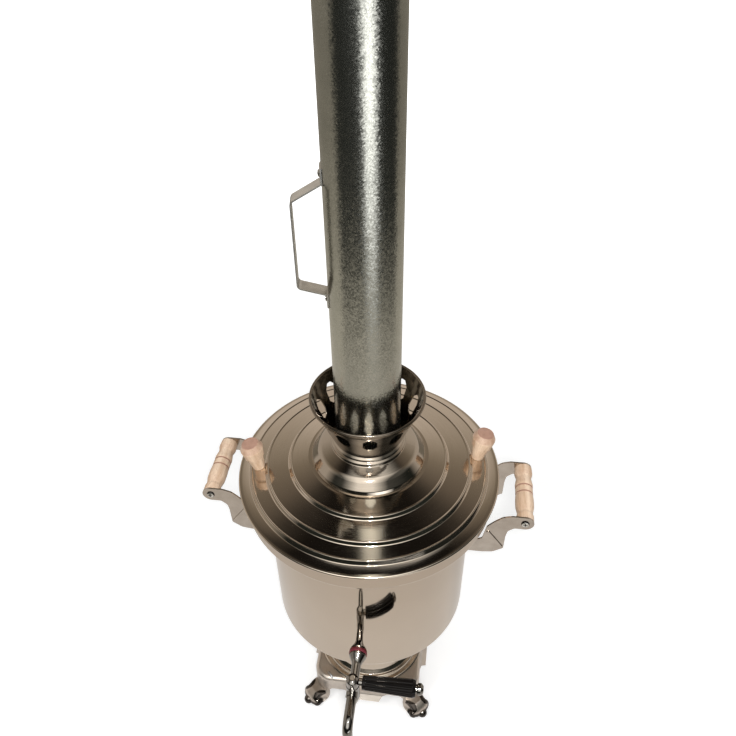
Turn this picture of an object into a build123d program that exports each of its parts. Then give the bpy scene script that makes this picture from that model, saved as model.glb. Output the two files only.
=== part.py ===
"""Wood-fired samovar with a loose chimney pipe. Millimetres, +Z up.

The origin is on the axis at floor level. The tap points towards -Y and the two side
handles stand on the X axis. Water fills the ring between the vessel wall and the fire
tube. The lid, the crown and the pipe are only set on one another and lift off.
"""

import os
from math import atan2, cos, degrees, radians, sin, sqrt

from build123d import *

os.makedirs("parts", exist_ok=True)

# Driving dimensions -------------------------------------------------------------------

sheet = 1.0  # stainless sheet of vessel, collar, lid, pedestal and crown
seam = 0.05  # left between curved faces that are welded, riveted or screwed together
loose_gap = 0.6  # radial gap between pieces that are set into one another by hand

vessel_radius = 130.0
vessel_height = 218.0  # from the vessel's bottom to the step of the collar
vessel_corner = 7.0
vessel_dish = 9.0  # turned-up rim of the vessel's bottom, to which the wall is welded
vessel_lap = 4.0  # vessel wall above the step of the collar
collar_overhang = 25.0  # collar beyond the vessel wall
collar_height = 27.0
collar_flange = 6.0  # flat ring on top of the collar that carries the lid

lid_overhang = 5.0  # rim of the lid beyond the collar
lid_hem = 2.0  # half the thickness of the rolled rim
lid_hem_width = 7.0
lid_rise = 27.0  # rim to the seat of the crown
lid_spigot = 14.0  # depth of the ring that centres the lid in the collar
lid_upstand = 3.0  # turned-up edge of the lid's middle opening, inside the crown
# Each ridge: its place from the crown seat (0) to the rim (1), its foot and its top above the rim.
lid_ridges = ((0.255, 19.5, 23.0), (0.589, 12.2, 16.0), (0.815, 5.0, 9.5))
ridge_half_width = 2.2
ridge_bead = (0.3, 0.9)  # crest of the bead on each ridge: inside the middle, and above the band

knob_azimuths = (10.0, 190.0)
knob_radius = 13.9
knob_top_radius = 9.9  # flat end grain on top of the cap
knob_brim_radius = 12.0  # lower edge of the cap
knob_neck_radius = 10.3
knob_foot_radius = 7.4
knob_height = 41.0
knob_neck_height = 19.5
knob_screw_length = 18.0

flue_radius = 34.5
flue_wall = 1.2
flue_drop = 10.0  # fire tube below the vessel's bottom
flue_lip = 4.5  # inward lip that carries the grate
flue_spigot = 18.0  # fire tube above the seat of the pipe
grate_thickness = 2.5
grate_bar = 4.0
grate_slots = 6

crown_foot_radius = 69.0
crown_neck_height = 34.0  # crown foot, from the lid's seat to the bowl
crown_neck_beads = (3.6, 1.4)  # how far each bead stands out of the neck, lower one first
crown_bowl_height = 61.6
crown_rim_radius = 66.5
crown_bead = 1.6
crown_holes = 11
crown_hole_width = 16.0
crown_hole_height = 25.0
crown_hole_flat = 5.0  # width of the hole's upper and lower end
crown_azimuth = -80.0  # of the first hole

pipe_radius = 37.8
pipe_wall = 0.6
pipe_length = 600.0
pipe_seam_width = 8.0
pipe_seam_azimuth = 150.0
pipe_handle_azimuth = 189.0
pipe_handle_foot = 202.0  # lower leg's root above the pipe's lower end
pipe_handle_span = 120.0  # between the roots of the two legs
pipe_handle_legs = (9.0, 17.0)  # rise of the lower leg and fall of the upper one
pipe_handle_reach = 28.5  # clear of the pipe
pipe_handle_width = 16.0
pipe_handle_strip = 1.5
pipe_handle_tab = 15.0

grip_from_collar = 38.0  # grip axis beyond the collar
grip_below_rim = 26.0
grip_length = 85.0
grip_radius = 11.3
grip_end_radius = 10.4
grip_neck_radius = 9.3
grip_groove_radius = 9.0
grip_screw_length = 16.0
bracket_sheet = 2.0
bracket_lobe = 10.5  # radius round the grip's screw
bracket_low = 62.0  # bracket's lower edge below the grip axis
bracket_root = 24.0  # height of the root at the wall
bracket_tab = 24.0  # width of the tab riveted to the wall
bracket_rib_width = 4.0
bracket_rib_height = 1.2

pedestal_height = 151.0
pedestal_foot_radius = 81.0
pedestal_waist_radius = 55.0
pedestal_head_radius = 98.0
pedestal_flange = 16.0  # flat ring bolted to the stand
pedestal_bolt_inset = 11.0  # bolts inside the pedestal's foot
air_hole_radius = 4.5
air_holes = 12

stand_height = 60.0
stand_side = 160.0
stand_corner = 25.0
stand_wall = 3.0
stand_edge = 7.0  # rounding of the plate's upper edge
stand_skirt = 28.0  # height of the skirt between the legs
leg_height = 35.0  # height of the corner legs that hold the feet
leg_width = 22.0
leg_slope = 6.0  # how far the skirt slants sideways where it runs into a leg
tongue_drop = 8.5  # tongue below the skirt
tongue_flare = 8.5  # tongue's tip outside the skirt
tongue_width = 52.0
tongue_tip = 40.0
tongue_shoulder = 6.0  # strip beside the tongue that runs up into the skirt
slot_length = 13.0
slot_width = 3.6
slot_place = (90.0, 12.5)  # along and across the plate's diagonal
foot_gap = 0.5  # between a leg and the foot that carries it
foot_sections = ((0, 108, 30), (6, 109, 35), (15, 108, 34))  # height, distance along the diagonal, width
foot_shoulder = (102.0, 25.0)  # distance and width of the foot where it meets the leg
foot_neck = (90.0, 11.0)  # distance and width of the neck that is welded under the plate
toe_radius = 7.2
toe_places = ((125.0, 0.0), (117.0, -11.0), (117.0, 11.0))  # distance along and across the diagonal
scoop_radius = 15.0  # hollow in each side of the foot, beside its spine
scoop_place = (113.0, 26.0, 19.0)  # along and across the diagonal, and height

tray_radius = 60.0  # opening of the stand that the ash tray hangs in
tray_depth = 18.0
tray_flange = 4.0

tap_height = 33.0  # tap axis above the vessel's bottom
tap_reach = 47.0  # vessel wall to the plug's axis
tap_shank_radius = 7.0
tap_shank_length = 18.0  # inside the vessel wall
tap_stem_radius = 5.7
tap_flange_radius = 11.2
tap_barrel_radius = 8.5
tap_barrel_below = 17.0
tap_barrel_above = 11.0
tap_plug_radius = 5.5
tap_plug_gap = 0.06  # running fit of the plug in the barrel
tap_bore = 3.5
plug_head_radius = 8.0
plug_head_height = 16.0
plug_tail_radius = 3.0
plug_tail_length = 16.0
gasket_thickness = 2.5
inner_gasket_thickness = 3.0
washer_thickness = 1.0
lock_nut = (20.0, 6.0)  # across flats and thickness
plug_nut_size = (11.0, 5.0)
spring_height = 8.0
spring_wire_radius = 0.7
spring_turns = 3
spout_reach = 49.0  # plug's axis to the outlet's axis
spout_radius = 6.3
spout_bore_radius = 4.8
spout_bend = 14.0
spout_drop = 37.0
spout_socket = 4.5
lever_rise = 19.0  # lever axis above the tap's axis
lever_radius = 2.5
lever_depth = 9.5  # rod inside the plug's head
lever_collar_radius = 4.5
lever_collar_length = 4.0
tap_grip_length = 66.0
tap_grip_radii = (8.5, 11.0)
tap_grip_flutes = 12
flute_radius = 1.9
flute_depth = 0.9
cap_nut_length = 9.5
cap_nut_radius = 7.2

rivet_radius = 2.0
screw_radius = 2.2
bolt_radius = 2.5

# Heights and radii that follow ---------------------------------------------------------

vessel_z = stand_height + pedestal_height
collar_z = vessel_z + vessel_height
collar_top_z = collar_z + collar_height
collar_radius = vessel_radius + collar_overhang
lid_z = collar_top_z + lid_hem
lid_radius = collar_radius + lid_overhang
lid_seat_z = lid_z + lid_rise
bowl_z = lid_seat_z + crown_neck_height
pipe_z = bowl_z + sheet
tap_z = vessel_z + tap_height
plug_y = -(vessel_radius + tap_reach)
grip_x = collar_radius + grip_from_collar
grip_z = lid_z - grip_below_rim


def finish(piece, name):
    """Labels a finished piece and writes it as one STEP file."""
    piece.part.label = name
    export_step(piece.part, f"parts/{name}.step")


def sheet_face(points, bends, side, thickness=sheet):
    """Adds to the open sketch a bent strip of sheet, one face of which follows the points."""
    with BuildLine() as outline:
        FilletPolyline(*points, radius=bends)
        offset(amount=thickness, side=side)
    make_face(outline.edges())


def along(start, direction):
    """Plane at a point whose normal is the direction."""
    return Plane(origin=start, z_dir=direction)


def on_wall(azimuth, height, radius):
    """Plane that touches an upright cylinder at an azimuth, its normal outwards and its Y upwards."""
    turn = radians(azimuth)
    start = (radius * cos(turn), radius * sin(turn), height)
    return Plane(origin=start, x_dir=(-sin(turn), cos(turn), 0), z_dir=(cos(turn), sin(turn), 0))


def turned(place, points, bends=None):
    """Adds a turned solid to the open part: each point is a radius and a distance along the normal."""
    corners = bends or [0] * (len(points) - 2)
    with BuildSketch(Plane(place.origin, x_dir=place.x_dir, z_dir=-place.y_dir)) as profile:
        with BuildLine() as outline:
            FilletPolyline(*points, radius=corners)
            Line(points[-1], points[0])
        make_face(outline.edges())
    revolve(profile.sketch, axis=Axis(place.origin, place.z_dir))


def rod(place, radius, length, mode=Mode.ADD):
    """Adds or cuts a cylinder that starts on the plane and runs along its normal."""
    with BuildSketch(place) as section:
        Circle(radius)
    extrude(section.sketch, amount=length, mode=mode)


def ring(place, outer, inner, thickness):
    """Adds a flat ring that starts on the plane and runs along its normal."""
    with BuildSketch(place) as section:
        Circle(outer)
        Circle(inner, mode=Mode.SUBTRACT)
    extrude(section.sketch, amount=thickness)


def hex_nut(place, size, bore):
    """Adds a six-sided nut with its bore, given its size across flats and its thickness."""
    across, thickness = size
    with BuildSketch(place) as section:
        RegularPolygon(across / 2, 6, major_radius=False)
        Circle(bore, mode=Mode.SUBTRACT)
    extrude(section.sketch, amount=thickness)


def rivet(azimuth, height, outer, inner):
    """Adds a radial rivet through the sheets between an inner and an outer radius."""
    head = rivet_radius * 1.8
    place = on_wall(azimuth, height, outer + seam)
    grip = outer + 2 * seam - sqrt(inner**2 - head**2)
    outline = [
        (0, -grip - 1.2),
        (head, -grip - 1.2),
        (head, -grip),
        (rivet_radius, -grip),
        (rivet_radius, 0),
        (head, 0),
        (head - 0.7, 1.2),
        (0, 1.7),
    ]
    turned(place, outline, [0, 0, 0, 0, 0, 0.8])


def tap_plane(distance):
    """Plane across the tap's axis at a distance in front of the vessel's axis, its normal forwards."""
    return Plane((0, -distance, tap_z), x_dir=(1, 0, 0), z_dir=(0, -1, 0))


def plug_plane(height):
    """Level plane on the plug's axis."""
    return Plane((0, plug_y, height), x_dir=(1, 0, 0), z_dir=(0, 0, 1))


def lever_plane(reach):
    """Plane across the lever at a distance from the plug's axis, its normal along the lever."""
    return Plane((reach, plug_y, tap_z + lever_rise), x_dir=(0, 1, 0), z_dir=(1, 0, 0))


# Vessel, collar and fire tube ----------------------------------------------------------

bracket_y = grip_length / 2
root_z = grip_z - bracket_low
rivet_y = bracket_y + bracket_sheet - bracket_tab / 2
rivet_x = sqrt(vessel_radius**2 - rivet_y**2)
rivet_heights = (root_z + bracket_root * 0.25, root_z + bracket_root * 0.75)


def rivet_azimuth(side, end):
    """Azimuth of the rivets of the bracket on one side (-1 left, 1 right) and end (-1 front, 1 rear)."""
    return degrees(atan2(end * rivet_y, side * rivet_x))


bracket_corners = [(side, end) for side in (-1, 1) for end in (-1, 1)]
rivet_spots = [
    (rivet_azimuth(side, end), height) for side, end in bracket_corners for height in rivet_heights
]

with BuildPart() as vessel_bottom:
    with BuildSketch(Plane.XZ):
        sheet_face(
            [
                (flue_radius + seam, vessel_z),
                (vessel_radius, vessel_z),
                (vessel_radius, vessel_z + vessel_dish - seam),
            ],
            [vessel_corner],
            Side.LEFT,
        )
    revolve(axis=Axis.Z)
finish(vessel_bottom, "vessel_bottom")

wall_height = vessel_height + vessel_lap - vessel_dish
with BuildPart() as vessel_wall:
    ring(Plane.XY.offset(vessel_z + vessel_dish), vessel_radius, vessel_radius - sheet, wall_height)
    rod(tap_plane(vessel_radius - 10), tap_shank_radius + seam, 20, Mode.SUBTRACT)
    for azimuth, height in rivet_spots:
        rod(on_wall(azimuth, height, vessel_radius - 4), rivet_radius + seam, 8, Mode.SUBTRACT)
finish(vessel_wall, "vessel_wall")

with BuildPart() as top_collar:
    with BuildSketch(Plane.XZ):
        sheet_face(
            [
                (vessel_radius + seam, collar_z),
                (collar_radius, collar_z),
                (collar_radius, collar_top_z),
                (collar_radius - collar_flange, collar_top_z),
            ],
            [4, 2],
            Side.LEFT,
        )
    revolve(axis=Axis.Z)
finish(top_collar, "top_collar")

with BuildPart() as flue_tube:
    with BuildSketch(Plane.XZ):
        sheet_face(
            [
                (flue_radius - flue_lip, vessel_z - flue_drop),
                (flue_radius, vessel_z - flue_drop),
                (flue_radius, pipe_z + flue_spigot),
            ],
            [2],
            Side.LEFT,
            flue_wall,
        )
    revolve(axis=Axis.Z)
finish(flue_tube, "flue_tube")

grate_radius = flue_radius - flue_wall - loose_gap - 0.4
with BuildPart() as grate:
    with BuildSketch(Plane.XY.offset(vessel_z - flue_drop + flue_wall)):
        Circle(grate_radius)
        for row in range(grate_slots):
            across = (row - (grate_slots - 1) / 2) * 2.2 * grate_bar
            half_length = sqrt((grate_radius - grate_bar) ** 2 - across**2)
            with Locations((0, across)):
                SlotOverall(2 * half_length, grate_bar, mode=Mode.SUBTRACT)
    extrude(amount=grate_thickness)
finish(grate, "grate")

# Lid with its two knobs ----------------------------------------------------------------

seat_radius = crown_foot_radius + 4
upstand_radius = crown_foot_radius - 4.5
ridge_span = lid_radius - seat_radius
ridge_radii = [seat_radius + place * ridge_span for place, low, high in lid_ridges]

lid_top = [
    (upstand_radius, lid_seat_z + lid_upstand),
    (upstand_radius, lid_seat_z),
    (seat_radius, lid_seat_z),
]
lid_bends = [1.1, 1.8]
crest_inset, crest_height = ridge_bead
for middle, (place, low, high) in zip(ridge_radii, lid_ridges):
    lid_top.append((middle - ridge_half_width, lid_z + high))
    lid_top.append((middle - crest_inset, lid_z + high + crest_height))
    lid_top.append((middle + ridge_half_width, lid_z + low))
    lid_bends += [1.5, 1.3, 1.8]
lid_top.append((lid_radius - 2 * lid_hem, lid_z + lid_hem - 0.5))

# The knobs stand square on the sloping band between the two outer ridges.
band_inner = lid_top[-5]
band_outer = lid_top[-4]
knob_lean = atan2(band_inner[1] - band_outer[1], band_outer[0] - band_inner[0])
knob_from_axis = (band_inner[0] + band_outer[0]) / 2
knob_foot_z = (band_inner[1] + band_outer[1]) / 2
knob_places = []
for azimuth in knob_azimuths:
    turn = radians(azimuth)
    knob_places.append(
        along(
            (knob_from_axis * cos(turn), knob_from_axis * sin(turn), knob_foot_z + seam),
            (sin(knob_lean) * cos(turn), sin(knob_lean) * sin(turn), cos(knob_lean)),
        )
    )

spigot_radius = collar_radius - collar_flange - loose_gap
rim_inner, rim_outer = lid_top[-2:]
rim_fall = (rim_inner[1] - rim_outer[1]) / (rim_outer[0] - rim_inner[0])
spigot_top = rim_inner[1] - (spigot_radius - rim_inner[0]) * rim_fall - sheet / 2
with BuildPart() as lid:
    with BuildSketch(Plane.XZ):
        sheet_face(lid_top, lid_bends, Side.RIGHT)
        with Locations((lid_radius - lid_hem, lid_z)):
            Circle(lid_hem)
        with Locations((lid_radius - (lid_hem + lid_hem_width) / 2, lid_z)):
            Rectangle(lid_hem_width - lid_hem, 2 * lid_hem)
        with Locations((spigot_radius - sheet / 2, spigot_top)):
            Rectangle(sheet, spigot_top - lid_z + lid_spigot, align=(Align.CENTER, Align.MAX))
    revolve(axis=Axis.Z)
    for place in knob_places:
        rod(place.offset(-5), screw_radius + seam, 10, Mode.SUBTRACT)
finish(lid, "lid")

knob_outline = [
    (0, 0),
    (knob_foot_radius, 0),
    (knob_neck_radius, knob_neck_height),
    (knob_brim_radius, knob_neck_height + 1.2),
    (knob_radius, knob_height - 7.5),
    (knob_top_radius, knob_height),
    (0, knob_height),
]
for place, side in zip(knob_places, ("right", "left")):
    with BuildPart() as lid_knob:
        turned(place, knob_outline, [0.5, 0.5, 0.6, 4.0, 0.9])
        rod(place, screw_radius + seam, knob_screw_length, Mode.SUBTRACT)
    finish(lid_knob, f"lid_knob_{side}")

knob_washer_radius = 6.0
with BuildPart() as knob_washers:
    for place in knob_places:
        ring(place.offset(-sheet - 2 * seam - washer_thickness), knob_washer_radius, screw_radius + seam,
             washer_thickness)
finish(knob_washers, "knob_washers")

with BuildPart() as knob_screws:
    for place in knob_places:
        seat = place.offset(-sheet - 2 * seam - washer_thickness)
        turned(
            seat,
            [
                (0, -2.6),
                (screw_radius * 1.9, -1.6),
                (screw_radius * 1.9, 0),
                (screw_radius, 0),
                (screw_radius, knob_screw_length - 1),
                (0, knob_screw_length + 1),
            ],
            [1.5, 0, 0, 0],
        )
finish(knob_screws, "knob_screws")

# Crown: the bell that stands on the lid and the bowl that carries a teapot ---------------

neck_radius = pipe_radius + 4.2
lower_bead, upper_bead = crown_neck_beads
with BuildPart() as crown_foot:
    with BuildSketch(Plane.XZ):
        sheet_face(
            [
                (crown_foot_radius, lid_seat_z),
                (crown_foot_radius, lid_seat_z + 1.5),
                (crown_foot_radius - 1.5, lid_seat_z + 5.5),
                (crown_foot_radius - 10, lid_seat_z + 16),
                (neck_radius + 0.6, bowl_z - 10.5),
                (neck_radius + lower_bead, bowl_z - 8),
                (neck_radius - 0.6, bowl_z - 5.2),
                (neck_radius + upper_bead, bowl_z - 3),
                (neck_radius - 1.6, bowl_z),
                (flue_radius + 1.5, bowl_z),
            ],
            [1.5, 3, 14, 1.6, 1.4, 1, 1.3, 1.2],
            Side.LEFT,
        )
    revolve(axis=Axis.Z)
finish(crown_foot, "crown_foot")

bowl_rim_z = bowl_z + crown_bowl_height - crown_bead
bowl_wall = [
    (flue_radius + 1.5, bowl_z),
    (neck_radius - 1.4, bowl_z),
    (neck_radius + 1.2, bowl_z + 5),
    (crown_rim_radius - 12.0, bowl_rim_z - 25),
    (crown_rim_radius - 4.5, bowl_rim_z - 8),
    (crown_rim_radius - crown_bead, bowl_rim_z),
]
hole_z = bowl_rim_z - 25
hole_half_width = crown_hole_width / 2
hole_half_flat = crown_hole_flat / 2
hole_half_height = crown_hole_height / 2
hole_shoulder = hole_half_height - 6
with BuildPart() as crown_bowl:
    with BuildSketch(Plane.XZ):
        sheet_face(bowl_wall, [1.2, 4, 60, 30], Side.LEFT)
        with Locations((crown_rim_radius - crown_bead, bowl_rim_z)):
            Circle(crown_bead)
    revolve(axis=Axis.Z)
    for number in range(crown_holes):
        azimuth = crown_azimuth + number * 360 / crown_holes
        with BuildSketch(on_wall(azimuth, hole_z, neck_radius)):
            Polygon(
                (hole_half_flat, hole_half_height),
                (hole_half_width, hole_shoulder),
                (hole_half_width, -hole_shoulder),
                (hole_half_flat, -hole_half_height),
                (-hole_half_flat, -hole_half_height),
                (-hole_half_width, -hole_shoulder),
                (-hole_half_width, hole_shoulder),
                (-hole_half_flat, hole_half_height),
            )
        extrude(amount=crown_rim_radius - neck_radius + 5, mode=Mode.SUBTRACT)
finish(crown_bowl, "crown_bowl")

# Chimney pipe with its strip handle -----------------------------------------------------

handle_low_z = pipe_z + pipe_handle_foot
handle_high_z = handle_low_z + pipe_handle_span
handle_rise, handle_fall = pipe_handle_legs
handle_radius = pipe_radius + pipe_handle_reach + pipe_handle_strip
handle_tab_radius = pipe_radius + seam + pipe_handle_strip
handle_turn = radians(pipe_handle_azimuth)
handle_rivet_heights = (handle_low_z - pipe_handle_tab / 2, handle_high_z + pipe_handle_tab / 2)

with BuildPart() as chimney_pipe:
    with BuildSketch(Plane.XY.offset(pipe_z)):
        Circle(pipe_radius + pipe_wall)
        with PolarLocations(pipe_radius, 1, pipe_seam_azimuth):
            Rectangle(pipe_radius, pipe_seam_width, mode=Mode.INTERSECT)
        Circle(pipe_radius)
        Circle(pipe_radius - pipe_wall, mode=Mode.SUBTRACT)
    extrude(amount=pipe_length)
    for height in handle_rivet_heights:
        rod(on_wall(pipe_handle_azimuth, height, pipe_radius - 4), rivet_radius + seam, 8, Mode.SUBTRACT)
finish(chimney_pipe, "chimney_pipe")

handle_side = Plane(
    (0, 0, 0),
    x_dir=(cos(handle_turn), sin(handle_turn), 0),
    z_dir=(sin(handle_turn), -cos(handle_turn), 0),
)
with BuildPart() as pipe_handle:
    with BuildSketch(handle_side):
        sheet_face(
            [
                (pipe_radius - 1, handle_low_z),
                (handle_tab_radius - 0.5, handle_low_z),
                (handle_radius, handle_low_z + handle_rise),
                (handle_radius, handle_high_z - handle_fall),
                (handle_tab_radius - 0.5, handle_high_z),
                (pipe_radius - 1, handle_high_z),
            ],
            [2, 6, 6, 2],
            Side.LEFT,
            pipe_handle_strip,
        )
    extrude(amount=pipe_handle_width / 2, both=True)
    for low in (handle_low_z - pipe_handle_tab, handle_high_z - pipe_handle_strip):
        with BuildSketch(Plane.XY.offset(low)):
            Circle(handle_tab_radius)
            with PolarLocations(pipe_radius, 1, pipe_handle_azimuth):
                Rectangle(pipe_radius, pipe_handle_width, mode=Mode.INTERSECT)
        extrude(amount=pipe_handle_tab + pipe_handle_strip)
    rod(Plane.XY.offset(pipe_z), pipe_radius + seam, pipe_length, Mode.SUBTRACT)
    for height in handle_rivet_heights:
        rod(on_wall(pipe_handle_azimuth, height, pipe_radius - 4), rivet_radius + seam, 10, Mode.SUBTRACT)
finish(pipe_handle, "pipe_handle")

with BuildPart() as pipe_handle_rivets:
    for height in handle_rivet_heights:
        rivet(pipe_handle_azimuth, height, handle_tab_radius, pipe_radius - pipe_wall)
finish(pipe_handle_rivets, "pipe_handle_rivets")

# Side handles: turned grips between stamped brackets -------------------------------------

grip_outline = [
    (0, 0),
    (grip_end_radius, 0),
    (grip_end_radius, grip_length * 0.10),
    (grip_neck_radius, grip_length * 0.15),
    (grip_radius, grip_length * 0.27),
    (grip_radius, grip_length * 0.39),
    (grip_radius - 0.5, grip_length * 0.474),
    (grip_groove_radius, grip_length * 0.484),
    (grip_groove_radius, grip_length * 0.49),
    (grip_radius - 0.5, grip_length * 0.50),
    (grip_radius - 0.5, grip_length * 0.594),
    (grip_groove_radius, grip_length * 0.604),
    (grip_groove_radius, grip_length * 0.61),
    (grip_radius - 0.5, grip_length * 0.62),
    (grip_radius - 0.1, grip_length * 0.67),
    (grip_neck_radius, grip_length * 0.80),
    (grip_radius, grip_length * 0.89),
    (grip_end_radius + 0.4, grip_length),
    (0, grip_length),
]
grip_bends = [0.8, 3, 5, 14, 14, 0, 0, 0, 0, 0, 0, 0, 0, 6, 10, 5, 0.8]
for side, name in ((-1, "left"), (1, "right")):
    front_end = Plane((side * grip_x, -bracket_y, grip_z), x_dir=(1, 0, 0), z_dir=(0, 1, 0))
    with BuildPart() as grip:
        turned(front_end, grip_outline, grip_bends)
        rod(front_end, screw_radius + seam, grip_screw_length, Mode.SUBTRACT)
        rod(front_end.offset(grip_length - grip_screw_length), screw_radius + seam, grip_screw_length,
            Mode.SUBTRACT)
    finish(grip, f"grip_{name}")

wall_x = sqrt(vessel_radius**2 - (bracket_y + bracket_sheet) ** 2) - 2
arm_outline = [
    (wall_x, -bracket_low),
    (grip_x - 46, -bracket_low),
    (grip_x - 33, -bracket_low + 2),
    (grip_x - 21, -bracket_low + 11),
    (grip_x - 20.5, -26),
    (grip_x - 19, -17),
    (grip_x - 12, -bracket_lobe),
    (grip_x, -bracket_lobe),
    (grip_x, bracket_lobe),
    (grip_x - 16, bracket_lobe),
    (grip_x - 27, 7),
    (grip_x - 36, -2),
    (grip_x - 44, -12),
    (grip_x - 48, -bracket_low + bracket_root + 3),
    (grip_x - 52, -bracket_low + bracket_root),
    (wall_x, -bracket_low + bracket_root),
]
arm_bends = [6, 10, 3, 12, 7, 5, 0, 0, 10, 12, 20, 8, 4, 3]
rib_middle = (grip_x - 33, -35)
rib_end = (grip_x - 24, -48)
for side, end in bracket_corners:
    outwards = -side * end  # sign of the plate's normal that points away from the grip
    plate = Plane((0, end * bracket_y, grip_z), x_dir=(side, 0, 0), z_dir=(0, -side, 0))
    with BuildPart() as bracket:
        with BuildSketch(plate):
            with BuildLine():
                FilletPolyline(*arm_outline, radius=arm_bends)
                Line(arm_outline[-1], arm_outline[0])
            make_face()
            with Locations((grip_x, 0)):
                Circle(bracket_lobe)
                Circle(screw_radius + seam, mode=Mode.SUBTRACT)
        extrude(amount=outwards * bracket_sheet)
        with BuildSketch(plate.offset(outwards * bracket_sheet)):
            SlotCenterPoint(rib_middle, rib_end, bracket_rib_width)
        extrude(amount=outwards * bracket_rib_height)
        with BuildSketch(Plane.XY.offset(root_z)):
            Circle(vessel_radius + seam + bracket_sheet)
            with Locations((side * vessel_radius, end * rivet_y)):
                Rectangle(vessel_radius, bracket_tab, mode=Mode.INTERSECT)
        extrude(amount=bracket_root)
        rod(Plane.XY.offset(root_z - 5), vessel_radius + seam, bracket_root + 10, Mode.SUBTRACT)
        for height in rivet_heights:
            rod(on_wall(rivet_azimuth(side, end), height, vessel_radius - 4), rivet_radius + seam, 10,
                Mode.SUBTRACT)
    end_name = "front" if end < 0 else "rear"
    side_name = "left" if side < 0 else "right"
    finish(bracket, f"bracket_{end_name}_{side_name}")

with BuildPart() as bracket_rivets:
    for azimuth, height in rivet_spots:
        rivet(azimuth, height, vessel_radius + seam + bracket_sheet, vessel_radius - sheet)
finish(bracket_rivets, "bracket_rivets")

screw_head_radius = 5.0
screw_head_height = 2.8
recess_width = 1.3
with BuildPart() as grip_screws:
    for side, end in bracket_corners:
        seat = Plane(
            (side * grip_x, end * (bracket_y + bracket_sheet), grip_z), x_dir=(1, 0, 0), z_dir=(0, end, 0)
        )
        turned(
            seat,
            [
                (0, 1 - grip_screw_length),
                (screw_radius, 2.5 - grip_screw_length),
                (screw_radius, 0),
                (screw_head_radius, 0),
                (screw_head_radius - 0.6, 1.6),
                (0, screw_head_height),
            ],
            [0, 0, 0, 1.5],
        )
        with BuildSketch(seat.offset(screw_head_height)):
            Rectangle(screw_head_radius, recess_width)
            Rectangle(recess_width, screw_head_radius)
        extrude(amount=-screw_head_height / 2, mode=Mode.SUBTRACT)
finish(grip_screws, "grip_screws")

# Tap: body through the wall, bent spout, turning plug with its lever ----------------------

shank_end = vessel_radius - sheet - tap_shank_length
flange_y = vessel_radius + gasket_thickness
barrel_low_z = tap_z - tap_barrel_below
barrel_height = tap_barrel_below + tap_barrel_above
boss_radius = spout_radius + 1.4
boss_end = tap_barrel_radius + 3 - plug_y
flange_from_shank = flange_y - shank_end

with BuildPart() as tap_gasket_outer:
    ring(tap_plane(vessel_radius - 2), tap_flange_radius + 0.5, tap_shank_radius + seam, gasket_thickness + 2)
    rod(Plane.XY.offset(tap_z - 2 * tap_flange_radius), vessel_radius + seam, 4 * tap_flange_radius,
        Mode.SUBTRACT)
finish(tap_gasket_outer, "tap_gasket_outer")

inner_gasket_y = vessel_radius - sheet - inner_gasket_thickness
with BuildPart() as tap_gasket_inner:
    ring(tap_plane(inner_gasket_y), tap_flange_radius, tap_shank_radius + seam, inner_gasket_thickness + 2)
    rod(Plane.XY.offset(tap_z - 2 * tap_flange_radius), vessel_radius - sheet - seam, 4 * tap_flange_radius,
        Mode.INTERSECT)
finish(tap_gasket_inner, "tap_gasket_inner")

with BuildPart() as tap_washer:
    ring(tap_plane(inner_gasket_y - washer_thickness), tap_flange_radius, tap_shank_radius + seam,
         washer_thickness)
finish(tap_washer, "tap_washer")

with BuildPart() as tap_lock_nut:
    hex_nut(tap_plane(inner_gasket_y - washer_thickness - lock_nut[1]), lock_nut, tap_shank_radius + seam)
finish(tap_lock_nut, "tap_lock_nut")

with BuildPart() as tap_body:
    turned(
        tap_plane(shank_end),
        [
            (0, 0),
            (tap_shank_radius, 0),
            (tap_shank_radius, flange_from_shank),
            (tap_flange_radius, flange_from_shank),
            (tap_flange_radius, flange_from_shank + 2.5),
            (tap_stem_radius + 0.3, flange_from_shank + 12),
            (tap_stem_radius, -plug_y - shank_end),
            (0, -plug_y - shank_end),
        ],
        [0.8, 0, 0, 1.5, 14, 0],
    )
    rod(plug_plane(barrel_low_z), tap_barrel_radius, barrel_height)
    rod(tap_plane(-plug_y), boss_radius, boss_end + plug_y)
    rod(tap_plane(shank_end), tap_bore, boss_end - shank_end, Mode.SUBTRACT)
    rod(plug_plane(barrel_low_z), tap_plug_radius + tap_plug_gap, barrel_height, Mode.SUBTRACT)
    rod(tap_plane(boss_end - spout_socket), spout_radius + seam, spout_socket, Mode.SUBTRACT)
finish(tap_body, "tap_body")

spout_y = plug_y - spout_reach
spout_start = boss_end - spout_socket
with BuildPart() as tap_spout:
    with BuildLine(Plane.YZ) as spout_path:
        FilletPolyline(
            (-spout_start, tap_z), (spout_y, tap_z), (spout_y, tap_z - spout_drop), radius=spout_bend
        )
    with BuildSketch(tap_plane(spout_start)):
        Circle(spout_radius)
        Circle(spout_bore_radius, mode=Mode.SUBTRACT)
    sweep(path=spout_path.line)
finish(tap_spout, "tap_spout")

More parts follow.
